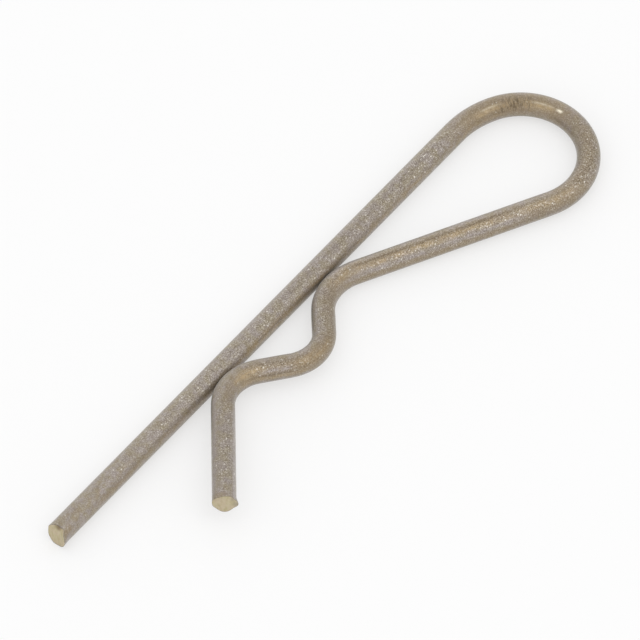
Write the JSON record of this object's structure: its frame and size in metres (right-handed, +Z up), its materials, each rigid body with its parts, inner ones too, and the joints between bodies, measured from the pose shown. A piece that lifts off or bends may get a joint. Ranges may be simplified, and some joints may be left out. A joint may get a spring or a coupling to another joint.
{
  "type": "hairpin cotter pin",
  "caption": "Hairpin cotter pin: one bent spring wire with a straight leg, an open eye and a formed leg that snaps over a shaft.",
  "frame": {"origin": "centre of the shaft seat, on the axis of the straight leg: the axis of the shaft that the pin secures passes through it along Z", "axes": "+X along the straight leg to its cut tip, +Y to the side of the formed leg, +Z up from the surface that the pin lies on"},
  "size_m": [0.0614, 0.0134, 0.0033],
  "materials": {
    "spring_wire": "dull grey-brown drawn spring steel with a fine grain, a few worn and rubbed patches, and bare cut ends"
  },
  "bodies": {
    "root": {"cotter_pin": "spring_wire"}
  },
  "joints": []
}
